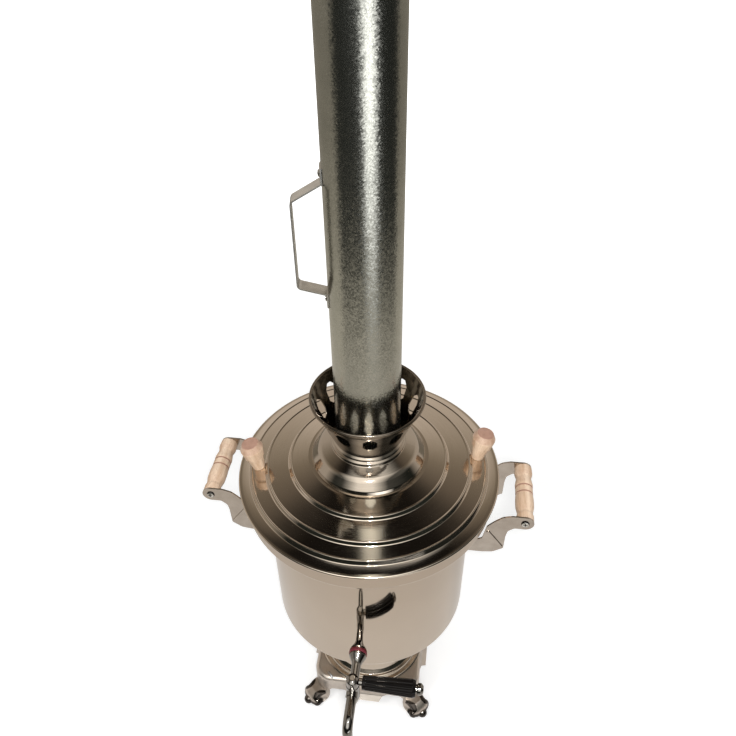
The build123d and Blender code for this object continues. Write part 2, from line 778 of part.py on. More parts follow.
tail_z = barrel_low_z - plug_tail_length
plug_from_tail = plug_tail_length + 0.5
head_from_tail = plug_tail_length + barrel_height
with BuildPart() as tap_plug:
    turned(
        plug_plane(tail_z),
        [
            (0, 0),
            (plug_tail_radius, 0),
            (plug_tail_radius, plug_from_tail),
            (tap_plug_radius, plug_from_tail),
            (tap_plug_radius, head_from_tail),
            (plug_head_radius, head_from_tail),
            (plug_head_radius, head_from_tail + plug_head_height - 3),
            (plug_head_radius - 4, head_from_tail + plug_head_height),
            (0, head_from_tail + plug_head_height),
        ],
        [0.5, 0, 0, 0, 0.5, 3, 3],
    )
    rod(lever_plane(plug_head_radius - lever_depth), lever_radius + seam, lever_depth + 2, Mode.SUBTRACT)
    rod(Plane((-plug_head_radius, plug_y, tap_z), x_dir=(0, 1, 0), z_dir=(1, 0, 0)), tap_bore,
        2 * plug_head_radius, Mode.SUBTRACT)
finish(tap_plug, "tap_plug")

with BuildPart() as plug_washer:
    ring(plug_plane(barrel_low_z - washer_thickness), tap_barrel_radius - 1, plug_tail_radius + seam,
         washer_thickness)
finish(plug_washer, "plug_washer")

spring_low_z = barrel_low_z - washer_thickness - spring_height
spring_climb = spring_height - 2 * (spring_wire_radius + seam)
with BuildPart() as plug_spring:
    with BuildLine() as coil:
        Helix(
            spring_climb / spring_turns,
            spring_climb,
            plug_tail_radius + 3 * spring_wire_radius,
            center=(0, plug_y, spring_low_z + spring_wire_radius + seam),
        )
    with BuildSketch(along(coil.line @ 0, coil.line % 0)):
        Circle(spring_wire_radius)
    sweep(path=coil.line, is_frenet=True)
finish(plug_spring, "plug_spring")

with BuildPart() as plug_nut:
    hex_nut(plug_plane(spring_low_z - plug_nut_size[1]), plug_nut_size, plug_tail_radius + seam)
finish(plug_nut, "plug_nut")

grip_start = plug_head_radius + seam + lever_collar_length
grip_end = grip_start + tap_grip_length
lever_start = plug_head_radius - lever_depth
lever_length = grip_end + cap_nut_length * 0.6 - lever_start
with BuildPart() as tap_lever:
    rod(lever_plane(lever_start), lever_radius, lever_length)
    rod(lever_plane(plug_head_radius + seam), lever_collar_radius, lever_collar_length)
finish(tap_lever, "tap_lever")

slim_radius, thick_radius = tap_grip_radii
grip_taper = (thick_radius - slim_radius) / tap_grip_length
flute_start = 4.0
with BuildPart() as tap_grip:
    turned(
        lever_plane(grip_start),
        [
            (0, 0),
            (slim_radius, 0),
            (thick_radius, tap_grip_length - 4),
            (thick_radius - 1.5, tap_grip_length),
            (0, tap_grip_length),
        ],
        [1.5, 3, 1],
    )
    rod(lever_plane(grip_start), lever_radius + seam, tap_grip_length, Mode.SUBTRACT)
    for number in range(tap_grip_flutes):
        turn = radians(number * 360 / tap_grip_flutes)
        reach = slim_radius + flute_radius - flute_depth
        start = (
            grip_start + flute_start,
            plug_y + reach * cos(turn),
            tap_z + lever_rise + reach * sin(turn),
        )
        rod(along(start, (1, grip_taper * cos(turn), grip_taper * sin(turn))), flute_radius,
            tap_grip_length - 2 * flute_start, Mode.SUBTRACT)
finish(tap_grip, "tap_grip")

with BuildPart() as tap_cap_nut:
    turned(
        lever_plane(grip_end),
        [
            (0, 0),
            (cap_nut_radius - 1.8, 0),
            (cap_nut_radius - 1.8, 1.6),
            (cap_nut_radius, 2.4),
            (cap_nut_radius, cap_nut_length - 3),
            (cap_nut_radius - 3, cap_nut_length),
            (0, cap_nut_length),
        ],
        [0, 0.4, 0.8, 2, 2],
    )
    rod(lever_plane(grip_end), lever_radius + seam, cap_nut_length * 0.65, Mode.SUBTRACT)
finish(tap_cap_nut, "tap_cap_nut")

# Pedestal, ash tray and stand -------------------------------------------------------------

foot_r = pedestal_foot_radius
waist_r = pedestal_waist_radius
head_r = pedestal_head_radius
waist_z = stand_height + pedestal_height * 0.4
pedestal_outline = [
    (foot_r - pedestal_flange, stand_height),
    (foot_r, stand_height),
    (foot_r, stand_height + 2.6),
    (foot_r - 1.8, stand_height + 4.4),
    (foot_r - 7, stand_height + 4.8),
    (foot_r - 8.6, stand_height + 7.6),
    (foot_r - 12, stand_height + 8.2),
    (foot_r - 16.5, stand_height + 13.5),
    (waist_r + 3, stand_height + pedestal_height * 0.2),
    (waist_r, waist_z),
    (waist_r + 6, stand_height + pedestal_height * 0.64),
    (head_r - 20, vessel_z - 24),
    (head_r, vessel_z - 6),
    (head_r, vessel_z),
]
bolt_circle = foot_r - pedestal_bolt_inset
with BuildPart() as pedestal:
    with BuildSketch(Plane.XZ):
        sheet_face(pedestal_outline, [1.3, 1.1, 1.1, 1.2, 1.2, 1.5, 3, 12, 40, 60, 20, 4], Side.LEFT)
    revolve(axis=Axis.Z)
    for number in range(air_holes):
        rod(on_wall(number * 360 / air_holes, waist_z, waist_r - 10), air_hole_radius, 20, Mode.SUBTRACT)
    with BuildSketch(Plane.XY.offset(stand_height - 1)):
        with PolarLocations(bolt_circle, 4):
            Circle(bolt_radius + seam)
    extrude(amount=sheet + 2, mode=Mode.SUBTRACT)
finish(pedestal, "pedestal")

bolt_head_radius = 4.4
bolt_nut = (8.0, 4.0)
plate_low_z = stand_height - stand_wall
with BuildPart() as pedestal_bolts:
    for place in PolarLocations(bolt_circle, 4).locations:
        seat = Plane(place).offset(stand_height + sheet)
        turned(
            seat,
            [
                (0, -stand_wall - sheet - 6),
                (bolt_radius, -stand_wall - sheet - 6),
                (bolt_radius, 0),
                (bolt_head_radius, 0),
                (bolt_head_radius - 0.6, 1.8),
                (0, 2.6),
            ],
            [0.5, 0, 0, 1],
        )
finish(pedestal_bolts, "pedestal_bolts")

with BuildPart() as pedestal_nuts:
    for place in PolarLocations(bolt_circle, 4).locations:
        hex_nut(Plane(place).offset(plate_low_z - bolt_nut[1]), bolt_nut, bolt_radius + seam)
finish(pedestal_nuts, "pedestal_nuts")

tray_wall_radius = tray_radius - loose_gap
with BuildPart() as ash_tray:
    with BuildSketch(Plane.XZ):
        sheet_face(
            [
                (0, stand_height - tray_depth),
                (tray_wall_radius, stand_height - tray_depth),
                (tray_wall_radius, stand_height),
                (tray_radius + tray_flange, stand_height),
            ],
            [5, 0.5],
            Side.LEFT,
        )
    revolve(axis=Axis.Z)
finish(ash_tray, "ash_tray")

skirt_z = stand_height - stand_skirt
leg_z = stand_height - leg_height
half_side = stand_side / 2
half_arch = half_side - leg_width
arch_outline = [
    (-half_arch, leg_z),
    (-half_arch + leg_slope, skirt_z),
    (half_arch - leg_slope, skirt_z),
    (half_arch, leg_z),
]
tongue_strip = [
    (half_side, skirt_z + stand_edge),
    (half_side, skirt_z),
    (half_side + tongue_flare, skirt_z - tongue_drop),
]
half_root = tongue_width / 2
half_tip = tongue_tip / 2
tongue_outline = [
    (-half_root - tongue_shoulder, skirt_z + stand_edge),
    (-half_root - tongue_shoulder, skirt_z),
    (-half_root, skirt_z - 2),
    (-half_tip, skirt_z - 1.2 * tongue_drop),
    (half_tip, skirt_z - 1.2 * tongue_drop),
    (half_root, skirt_z - 2),
    (half_root + tongue_shoulder, skirt_z),
    (half_root + tongue_shoulder, skirt_z + stand_edge),
]
with BuildPart() as tongue:
    with BuildSketch(Plane.XZ):
        sheet_face(tongue_strip, [8], Side.RIGHT, stand_wall)
    extrude(amount=half_root + tongue_shoulder, both=True)
    with BuildSketch(Plane.YZ):
        with BuildLine():
            FilletPolyline(*tongue_outline, radius=[0, 5, 5, 5, 5, 0])
            Line(tongue_outline[-1], tongue_outline[0])
        make_face()
    extrude(amount=2 * half_side, mode=Mode.INTERSECT)


def foot_plane(turn, distance, height):
    """Level plane on a foot's diagonal, its X outwards."""
    start = (distance * cos(turn), distance * sin(turn), height)
    return Plane(start, x_dir=(cos(turn), sin(turn), 0), z_dir=(0, 0, 1))


slot_distance, slot_across = slot_place
slot_sides = ((45, 1), (135, -1), (225, 1), (315, -1))  # each diagonal and the side of it with the slot
with BuildPart() as stand:
    with BuildSketch(Plane.XY.offset(leg_z)):
        RectangleRounded(stand_side, stand_side, stand_corner)
    extrude(amount=leg_height)
    fillet(stand.faces().sort_by(Axis.Z)[-1].edges(), radius=stand_edge)
    with BuildSketch(Plane.XY.offset(leg_z)):
        RectangleRounded(stand_side - 2 * stand_wall, stand_side - 2 * stand_wall, stand_corner - stand_wall)
    extrude(amount=leg_height - stand_wall, mode=Mode.SUBTRACT)
    for side_plane in (Plane.XZ, Plane.YZ):
        with BuildSketch(side_plane):
            with BuildLine():
                FilletPolyline(*arch_outline, radius=5)
                Line(arch_outline[-1], arch_outline[0])
            make_face()
        extrude(amount=half_side, both=True, mode=Mode.SUBTRACT)
    with PolarLocations(0, 4):
        add(tongue.part)
    with BuildSketch(Plane.XY.offset(plate_low_z)):
        Circle(tray_radius)
        with PolarLocations(bolt_circle, 4):
            Circle(bolt_radius + seam)
    extrude(amount=stand_wall, mode=Mode.SUBTRACT)
    for diagonal, side in slot_sides:
        place = foot_plane(radians(diagonal), slot_distance, plate_low_z).offset(-stand_wall)
        with BuildSketch(place):
            with Locations((0, side * slot_across)):
                SlotOverall(slot_length, slot_width, rotation=90)
        extrude(amount=2 * stand_wall, mode=Mode.SUBTRACT)
finish(stand, "stand")

neck_distance, neck_width = foot_neck
shoulder_distance, shoulder_width = foot_shoulder
shoulder_z = leg_z - foot_gap
scoop_distance, scoop_across, scoop_height = scoop_place
for diagonal, corner in ((45, "rear_right"), (135, "rear_left"), (225, "front_left"), (315, "front_right")):
    turn = radians(diagonal)
    with BuildPart() as foot:
        for height, distance, width in (*foot_sections, (shoulder_z, shoulder_distance, shoulder_width)):
            with BuildSketch(foot_plane(turn, distance, height)):
                RectangleRounded(width, width, width * 0.35)
        loft()
        scoop = foot_plane(turn, scoop_distance, scoop_height).location
        with Locations(scoop * Location((0, scoop_across, 0)), scoop * Location((0, -scoop_across, 0))):
            Sphere(scoop_radius, mode=Mode.SUBTRACT)
        for distance, across in toe_places:
            toe = foot_plane(turn, distance, toe_radius - 0.5).location * Location((0, across, 0))
            with Locations(toe):
                Sphere(toe_radius)
        split(bisect_by=Plane.XY, keep=Keep.TOP)
        with BuildSketch(foot_plane(turn, neck_distance, shoulder_z / 2)):
            RectangleRounded(neck_width, neck_width, neck_width * 0.25)
        extrude(amount=plate_low_z - seam - shoulder_z / 2)
    finish(foot, "foot_" + corner)
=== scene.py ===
from math import cos, pi, radians, sin

import bpy
from mathutils import Matrix, Vector


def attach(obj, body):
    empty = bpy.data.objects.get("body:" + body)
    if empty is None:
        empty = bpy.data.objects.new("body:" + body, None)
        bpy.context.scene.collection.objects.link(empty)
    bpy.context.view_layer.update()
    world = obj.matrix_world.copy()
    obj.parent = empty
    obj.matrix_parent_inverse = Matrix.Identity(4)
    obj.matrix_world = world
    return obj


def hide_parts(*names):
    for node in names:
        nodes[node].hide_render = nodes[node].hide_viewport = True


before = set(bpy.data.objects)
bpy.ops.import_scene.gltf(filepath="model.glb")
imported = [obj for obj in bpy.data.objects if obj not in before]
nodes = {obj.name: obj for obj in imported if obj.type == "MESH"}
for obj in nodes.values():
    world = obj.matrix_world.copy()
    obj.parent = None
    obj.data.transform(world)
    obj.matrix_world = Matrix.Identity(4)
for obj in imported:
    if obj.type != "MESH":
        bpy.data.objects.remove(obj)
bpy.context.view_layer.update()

# Pedestal, ash tray and stand. The samovar stands on a square pressed plate with four cast feet. A waisted
# steel pedestal, bolted to the plate, carries the vessel and lets air in to the fire.


class Wire:
    """One socket of a finish. Sums on wires and numbers add the Math nodes that work them out."""

    def __init__(self, tree, socket=None):
        self.tree = tree
        self.socket = socket

    def node(self, kind, settings=None, inputs=None, output=0):
        made = self.tree.nodes.new("ShaderNode" + kind)
        for name, value in (settings or {}).items():
            if name == "stops":
                elements = made.color_ramp.elements
                elements.remove(elements[1])
                elements[0].position, elements[0].color = value[0]
                for place, colour in value[1:]:
                    elements.new(place).color = colour
            else:
                setattr(made, name, value)
        for name, value in (inputs or {}).items():
            if isinstance(name, int):
                socket = made.inputs[name]
            else:
                socket = next(s for s in made.inputs if s.enabled and s.name == name)
            if isinstance(value, Wire):
                self.tree.links.new(value.socket, socket)
            else:
                socket.default_value = value
        if isinstance(output, int):
            return Wire(self.tree, made.outputs[output])
        return Wire(self.tree, next(s for s in made.outputs if s.enabled and s.name == output))

    def __getitem__(self, name):
        return Wire(self.tree, self.socket.node.outputs[name])

    def math(self, operation, *values):
        return self.node("Math", {"operation": operation}, dict(enumerate(values)))

    def __add__(self, other):
        return self.math("ADD", self, other)

    def __sub__(self, other):
        return self.math("SUBTRACT", self, other)

    def __rsub__(self, other):
        return self.math("SUBTRACT", other, self)

    def __mul__(self, other):
        return self.math("MULTIPLY", self, other)

    def __truediv__(self, other):
        return self.math("DIVIDE", self, other)

    def __rtruediv__(self, other):
        return self.math("DIVIDE", other, self)

    __radd__ = __add__
    __rmul__ = __mul__


def new_finish(name):
    """An empty finish and the wire that its nodes start from."""
    finish = bpy.data.materials.new(name)
    finish.use_nodes = True
    return finish, Wire(finish.node_tree)


def shade(finish, inputs):
    """Sets or links the sockets of the finish's shader."""
    shader = finish.node_tree.nodes["Principled BSDF"]
    for name, value in inputs.items():
        if isinstance(value, Wire):
            finish.node_tree.links.new(value.socket, shader.inputs[name])
        else:
            shader.inputs[name].default_value = value


def cover(finish, *names):
    """Gives the finish to CAD nodes."""
    for name in names:
        slots = nodes[name].material_slots
        if not slots:
            nodes[name].data.materials.append(finish)
        for slot in slots:
            slot.material = finish


def noise(where, scale, detail=2.0, roughness=0.5, distortion=0.0):
    """Cloudy pattern between 0 and 1."""
    inputs = {"Vector": where, "Scale": scale, "Detail": detail}
    inputs |= {"Roughness": roughness, "Distortion": distortion}
    return where.node("TexNoise", None, inputs, "Fac")


def mix(factor, first, second):
    """Colour between two colours."""
    inputs = {"Factor": factor, "A": first, "B": second}
    return factor.node("Mix", {"data_type": "RGBA"}, inputs, "Result")


def spread(value, low, high, to_low, to_high):
    """Maps a value from one range to another, held at the ends."""
    inputs = {"Value": value, "From Min": low, "From Max": high, "To Min": to_low, "To Max": to_high}
    return value.node("MapRange", None, inputs)


def vectors(operation, first, second):
    """Sum, difference or product of two vectors."""
    return first.node("VectorMath", {"operation": operation}, {0: first, 1: second})


def scaled(vector, amount):
    """A vector made longer or shorter."""
    return vector.node("VectorMath", {"operation": "SCALE"}, {0: vector, "Scale": amount})


def spun_steel(name, colour, dark_colour, roughness, brush, streaks):
    """Steel polished on a lathe about the upright axis, so that its fine lines run round it."""
    finish, start = new_finish(name)
    where = start.node("TexCoord", output="Object")
    x = where.node("SeparateXYZ", None, {0: where}, "X")
    y, z = x["Y"], x["Z"]
    from_axis = x.math("SQRT", x * x + y * y)
    angle = y.math("ARCTAN2", y, x)
    arcs = x.node("CombineXYZ", None, {"X": from_axis * 1000, "Y": z * 1000, "Z": angle * 2.5})
    fine = noise(arcs, 3.1, 2)
    broad = noise(arcs, 0.45, 3)
    normal = start.node("NewGeometry", output="Normal")
    round_axis = normal.node("CombineXYZ", None, {"X": y * -1 / from_axis, "Y": x / from_axis, "Z": 0.0})
    across = vectors("CROSS_PRODUCT", normal, round_axis)
    tilt = (fine - 0.5) * brush + (broad - 0.5) * (brush * 0.6)
    bent = vectors("ADD", normal, scaled(across, tilt))
    bent = bent.node("VectorMath", {"operation": "NORMALIZE"}, {0: bent})
    cloudy = noise(where, 22, 4, 0.6)
    rough = spread(cloudy, 0.35, 0.7, roughness * 0.75, roughness * 1.35) + (broad - 0.5) * streaks
    tone = spread(noise(where, 9, 3), 0.3, 0.7, 0.0, 0.55) + (fine - 0.5) * 0.25
    shade(
        finish,
        {
            "Base Color": mix(tone, colour, dark_colour),
            "Metallic": 1.0,
            "Roughness": rough,
            "Normal": bent,
        },
    )
    return finish


pedestal_steel = spun_steel(
    "pedestal steel",
    (0.60, 0.53, 0.45, 1),
    (0.50, 0.43, 0.36, 1),
    roughness=0.14,
    brush=0.05,
    streaks=0.05,
)
cover(pedestal_steel, "pedestal", "ash_tray")


def plain_metal(name, colour, dark_colour, roughness, grain, bump):
    """Cast or plated metal with a slightly uneven skin."""
    finish, start = new_finish(name)
    where = start.node("TexCoord", output="Object")
    patches = noise(where, 60, 4, 0.6)
    pits = noise(where, grain, 3, 0.55)
    skin = start.node("Bump", None, {"Strength": 0.35, "Distance": bump, "Height": pits}, "Normal")
    shade(
        finish,
        {
            "Base Color": mix(spread(patches, 0.35, 0.7, 0, 1), colour, dark_colour),
            "Metallic": 1.0,
            "Roughness": spread(patches + pits * 0.3, 0.4, 0.95, roughness * 0.7, roughness * 1.4),
            "Normal": skin,
        },
    )
    return finish


stand_steel = plain_metal(
    "stand steel",
    (0.62, 0.565, 0.51, 1),
    (0.53, 0.48, 0.43, 1),
    roughness=0.34,
    grain=260,
    bump=0.0003,
)
cover(stand_steel, "stand")

# Painted dark reflection of a foot: its hollow and the round of its toes are painted black. The hollow's
# middle lies along and across the foot's diagonal and at a height. Between the two numbers of an edge the
# black fades in or out.
hollow_middle = (0.1155, 0.0215, 0.0255)
hollow_edge = (0.0150, 0.0165)
toe_top_edge = (0.0125, 0.0150)
toe_root_edge = (0.108, 0.111)


def foot_finish(corner, diagonal):
    """Cast foot, with a painted dark reflection: black painted into its hollows and round its toes."""
    finish, start = new_finish("foot " + corner)
    where = start.node("TexCoord", output="Object")
    inputs = {"Vector": where, "Rotation": (0, 0, diagonal)}
    turned = start.node("Mapping", {"vector_type": "TEXTURE"}, inputs)
    along = turned.node("SeparateXYZ", None, {0: turned}, "X")
    across, height = along.math("ABSOLUTE", along["Y"]), along["Z"]
    patches = noise(where, 90, 4, 0.6)
    pits = noise(where, 500, 3, 0.55)
    hollow_place = along.node("CombineXYZ", None, {"X": along, "Y": across, "Z": height})
    to_hollow = hollow_place.node(
        "VectorMath", {"operation": "DISTANCE"}, {0: hollow_place, 1: hollow_middle}, "Value"
    )
    ragged = (patches - 0.5) * 0.004
    # Painted dark reflection: the hollow and the round of the toes are painted black.
    hollow = spread(to_hollow + ragged, *hollow_edge, 1, 0)
    toes = spread(height + ragged, *toe_top_edge, 1, 0) * spread(along, *toe_root_edge, 0, 1)
    dark = along.math("MAXIMUM", hollow, toes)
    bright = mix(spread(patches, 0.35, 0.7, 0, 1), (0.62, 0.56, 0.50, 1), (0.50, 0.44, 0.39, 1))
    skin = start.node("Bump", None, {"Strength": 0.35, "Distance": 0.0003, "Height": pits}, "Normal")
    shade(
        finish,
        {
            "Base Color": mix(dark, bright, (0.055, 0.048, 0.043, 1)),
            "Metallic": 1.0,
            "Roughness": spread(dark, 0, 1, 0.34, 0.10) + (pits - 0.5) * 0.1,
            "Normal": skin,
        },
    )
    return finish


for corner, diagonal in (("front_left", 225), ("front_right", 315), ("rear_left", 135), ("rear_right", 45)):
    cover(foot_finish(corner, radians(diagonal)), "foot_" + corner)

zinc_plate = plain_metal(
    "zinc plate",
    (0.55, 0.54, 0.50, 1),
    (0.42, 0.41, 0.38, 1),
    roughness=0.28,
    grain=900,
    bump=0.0002,
)
cover(zinc_plate, "pedestal_bolts", "pedestal_nuts")

# Vessel, fire tube and grate. The vessel is rolled from bright stainless sheet and holds the water round a
# central fire tube, which carries a cast iron grate low down.

vessel_steel = spun_steel(
    "vessel steel",
    (0.56, 0.485, 0.405, 1),
    (0.50, 0.43, 0.355, 1),
    roughness=0.055,
    brush=0.012,
    streaks=0.02,
)
cover(vessel_steel, "vessel_wall", "vessel_bottom", "top_collar", "flue_tube")

cast_iron = plain_metal(
    "cast iron",
    (0.10, 0.09, 0.085, 1),
    (0.05, 0.045, 0.04, 1),
    roughness=0.6,
    grain=1400,
    bump=0.0006,
)
cover(cast_iron, "grate")

# Handles. Four pressed steel brackets are riveted to the vessel, and two turned beech grips are screwed
# between them.

bracket_steel = plain_metal(
    "bracket steel",
    (0.55, 0.505, 0.455, 1),
    (0.46, 0.415, 0.37, 1),
    roughness=0.12,
    grain=320,
    bump=0.0002,
)
cover(bracket_steel, "bracket_front_left", "bracket_front_right", "bracket_rear_left", "bracket_rear_right")
cover(zinc_plate, "bracket_rivets")

# Painted shade: the cross recess of a grip's screw is painted black, and so is the lower edge of its head.
# Measured from the grip's middle, the recess's floor is at the first distance, and at the second the painted
# shade has faded.
screw_painted_shade_edge = (0.0459, 0.0463)
screw_steel, start = new_finish("screw steel")
where = start.node("TexCoord", output="Object")
y = where.node("SeparateXYZ", None, {0: where}, "Y")
# Painted shade in the recess and under the head.
painted_recess_shade = spread(y.math("ABSOLUTE", y), *screw_painted_shade_edge, 1, 0)
scratches = noise(where, 1200, 3)
bright = mix(scratches, (0.78, 0.77, 0.74, 1), (0.62, 0.61, 0.58, 1))
shade(
    screw_steel,
    {
        "Base Color": mix(painted_recess_shade, bright, (0.03, 0.027, 0.025, 1)),
        "Metallic": 1.0,
        "Roughness": spread(scratches, 0.3, 0.7, 0.22, 0.35),
    },
)
cover(screw_steel, "grip_screws")


def turned_wood(name, lean):
    """Beech, its grain along the piece's own length, with darker end grain."""
    finish, start = new_finish(name)
    where = start.node("TexCoord", output="Object")
    grain = start.node("Mapping", {"vector_type": "TEXTURE"}, {"Vector": where, "Rotation": lean})
    x = grain.node("SeparateXYZ", None, {0: grain}, "X")
    y, z = x["Y"], x["Z"]
    long_way = grain.node("CombineXYZ", None, {"X": x, "Y": y, "Z": z * 0.06})
    bands = noise(long_way, 160, 3, 0.55)
    fibres = noise(long_way, 1400, 2, 0.6)
    flecks = noise(grain.node("CombineXYZ", None, {"X": x, "Y": y, "Z": z * 0.2}), 900, 1)
    normal = start.node("NewGeometry", output="Normal")
    facing = start.node("Mapping", {"vector_type": "TEXTURE"}, {"Vector": normal, "Rotation": lean})
    end = facing.node("SeparateXYZ", None, {0: facing}, "Z")
    colour = mix(spread(bands, 0.35, 0.68, 0, 1), (0.80, 0.62, 0.46, 1), (0.54, 0.36, 0.23, 1))
    colour = mix(spread(fibres, 0.45, 0.75, 0, 0.5), colour, (0.46, 0.29, 0.19, 1))
    colour = mix(spread(flecks, 0.66, 0.74, 0, 0.5), colour, (0.34, 0.19, 0.12, 1))
    end_grain = mix(bands, (0.44, 0.25, 0.18, 1), (0.26, 0.14, 0.10, 1))
    colour = mix(spread(end, 0.12, 0.8, 0, 0.95), colour, end_grain)
    height = fibres * 0.6 + flecks * -0.4
    skin = start.node("Bump", None, {"Strength": 0.5, "Distance": 0.0003, "Height": height}, "Normal")
    shade(
        finish,
        {
            "Base Color": colour,
            "Roughness": spread(fibres, 0.3, 0.7, 0.36, 0.52),
            "Normal": skin,
            "Coat Weight": 0.15,
        },
    )
    return finish


cover(turned_wood("beech grip", (radians(90), 0, 0)), "grip_left", "grip_right")

# Tap. A chromed brass tap is nutted through the vessel wall over a red rubber gasket. A lever with a fluted
# black grip turns its plug.

chrome = plain_metal(
    "chrome",
    (0.27, 0.26, 0.245, 1),
    (0.21, 0.20, 0.185, 1),
    roughness=0.04,
    grain=240,
    bump=0.0003,
)
cover(chrome, "tap_body", "tap_spout", "tap_plug", "tap_lever", "tap_cap_nut")
cover(zinc_plate, "tap_washer", "tap_lock_nut", "plug_spring", "plug_washer", "plug_nut")

red_rubber, start = new_finish("red rubber")
where = start.node("TexCoord", output="Object")
specks = noise(where, 1500, 3)
skin = start.node("Bump", None, {"Strength": 0.4, "Distance": 0.0002, "Height": specks}, "Normal")
shade(
    red_rubber,
    {
        "Base Color": mix(specks, (0.20, 0.020, 0.035, 1), (0.11, 0.012, 0.022, 1)),
        "Roughness": spread(specks, 0.3, 0.7, 0.45, 0.65),
        "Normal": skin,
    },
)
cover(red_rubber, "tap_gasket_outer", "tap_gasket_inner")

bakelite, start = new_finish("black bakelite")
where = start.node("TexCoord", output="Object")
swirl = noise(where, 90, 4, 0.6, 0.6)
scuffs = noise(where, 700, 3)
skin = start.node("Bump", None, {"Strength": 0.2, "Distance": 0.0001, "Height": scuffs}, "Normal")
shade(
    bakelite,
    {
        "Base Color": mix(swirl, (0.004, 0.004, 0.004, 1), (0.010, 0.008, 0.007, 1)),
        "Roughness": spread(scuffs, 0.35, 0.75, 0.05, 0.10),
        "Normal": skin,
        "Specular IOR Level": 0.12,
    },
)
cover(bakelite, "tap_grip")

# Lid. A stepped lid is spun from stainless sheet, with a rolled rim, and lies loose on the vessel's collar.
# Its two turned beech knobs are screwed on from below, over washers.

lid_steel = spun_steel(
    "lid steel",
    (0.60, 0.53, 0.45, 1),
    (0.52, 0.455, 0.38, 1),
    roughness=0.10,
    brush=0.05,
    streaks=0.05,
)


def spun_again(name, finish):
    """Turns a CAD piece afresh from its own section, so that highlights run evenly along its beads."""
    cad = nodes[name]
    piece = cad.copy()
    piece.data = cad.data.copy()
    piece.name = name + "_spun"
    bpy.context.scene.collection.objects.link(piece)
    piece.parent = None
    piece.matrix_world = cad.matrix_world
    bpy.ops.object.select_all(action="DESELECT")
    piece.select_set(True)
    bpy.context.view_layer.objects.active = piece
    bpy.ops.object.transform_apply()
    bpy.ops.object.mode_set(mode="EDIT")
    bpy.ops.mesh.select_all(action="SELECT")
    bpy.ops.mesh.remove_doubles(threshold=1e-6)
    bpy.ops.mesh.select_all(action="SELECT")
    bpy.ops.mesh.bisect(plane_co=(0, 0, 0), plane_no=(1, 0, 0))
    bpy.ops.mesh.select_all(action="DESELECT")
    bpy.ops.object.mode_set(mode="OBJECT")
    for vertex in piece.data.vertices:
        vertex.select = vertex.co.y > 0 or abs(vertex.co.x) > 1e-7
    bpy.ops.object.mode_set(mode="EDIT")
    bpy.ops.mesh.delete(type="VERT")
    bpy.ops.mesh.select_all(action="SELECT")
    bpy.ops.mesh.remove_doubles(threshold=2e-6)
    bpy.ops.mesh.select_all(action="SELECT")
    bpy.ops.mesh.dissolve_limited(angle_limit=radians(0.3))
    bpy.ops.mesh.select_all(action="SELECT")
    bpy.ops.mesh.spin(steps=360, angle=2 * pi, center=(0, 0, 0), axis=(0, 0, 1))
    bpy.ops.mesh.select_all(action="SELECT")
    bpy.ops.mesh.remove_doubles(threshold=2e-6)
    bpy.ops.mesh.normals_make_consistent(inside=False)
    bpy.ops.object.mode_set(mode="OBJECT")
    bpy.ops.object.shade_smooth_by_angle(angle=radians(35))
    bpy.ops.object.modifier_add(type="WEIGHTED_NORMAL")
    piece.modifiers[-1].keep_sharp = True
    bpy.ops.object.modifier_apply(modifier=piece.modifiers[-1].name)
    piece.data.materials.clear()
    piece.data.materials.append(finish)
    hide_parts(name)
    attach(piece, name)


spun_again("lid", lid_steel)
knob_lean = radians(10.5)  # about the slope of the lid under them, which the wood's grain follows
for side, knob_azimuth in (("left", radians(190)), ("right", radians(10))):
    turn = Matrix.Rotation(knob_azimuth, 3, "Z") @ Matrix.Rotation(knob_lean, 3, "Y")
    cover(turned_wood("beech knob " + side, turn.to_euler()), "lid_knob_" + side)
cover(zinc_plate, "knob_screws", "knob_washers")

# Crown. A bell-shaped foot and a pierced bowl are spun from stainless sheet and joined at the neck. It
# stands loose on the lid, takes the chimney pipe and carries the teapot.

# Painted dark reflection: the bell and the bowl are the lid's stainless steel painted darker, the bowl
# darkest.
crown_steel_painted_dark = spun_steel(
    "crown steel",
    (0.42, 0.37, 0.31, 1),
    (0.34, 0.295, 0.245, 1),
    roughness=0.10,
    brush=0.05,
    streaks=0.05,
)
cover(crown_steel_painted_dark, "crown_foot")
bowl_steel_painted_dark = spun_steel(
    "bowl steel",
    (0.25, 0.215, 0.175, 1),
    (0.16, 0.135, 0.11, 1),
    roughness=0.12,
    brush=0.05,
    streaks=0.05,
)
cover(bowl_steel_painted_dark, "crown_bowl")

# Chimney pipe. It is rolled from galvanised sheet with a lapped seam, and a bent strip is riveted on as its
# handle. It stands loose in the crown.

zinc_spangle, start = new_finish("galvanised steel")
where = start.node("TexCoord", output="Object")
crystals = start.node("TexVoronoi", {"feature": "F1"}, {"Vector": where, "Scale": 750.0}, "Color")
flakes = noise(where, 1100, 3, 0.7)
clouds = noise(where, 35, 4, 0.6)
normal = start.node("NewGeometry", output="Normal")
jitter = scaled(vectors("SUBTRACT", crystals, (0.5, 0.5, 0.5)), 0.10)
bent = vectors("ADD", normal, jitter)
bent = bent.node("VectorMath", {"operation": "NORMALIZE"}, {0: bent})
patchy = spread(flakes + clouds * 0.5, 0.5, 1.0, 0, 1)
shade(
    zinc_spangle,
    {
        "Base Color": mix(patchy, (0.50, 0.50, 0.455, 1), (0.34, 0.345, 0.31, 1)),
        "Metallic": 1.0,
        "Roughness": spread(flakes, 0.3, 0.7, 0.16, 0.3),
        "Normal": bent,
    },
)
cover(zinc_spangle, "chimney_pipe")
cover(zinc_plate, "pipe_handle", "pipe_handle_rivets")

# Studio. Floor and backdrop are white, but polished metal sees another room: beige paper with dark cloth in
# front, with a painted strip of light from a doorway glowing on it, a dark front wall with a bright window
# high up, and a beige rear wall that darkens overhead. Two soft lamps hang above the vessel and a small one
# just above the camera.

bpy.ops.mesh.primitive_circle_add(vertices=96, radius=7.0, fill_type="NGON")
floor = bpy.context.object
floor.name = "floor"

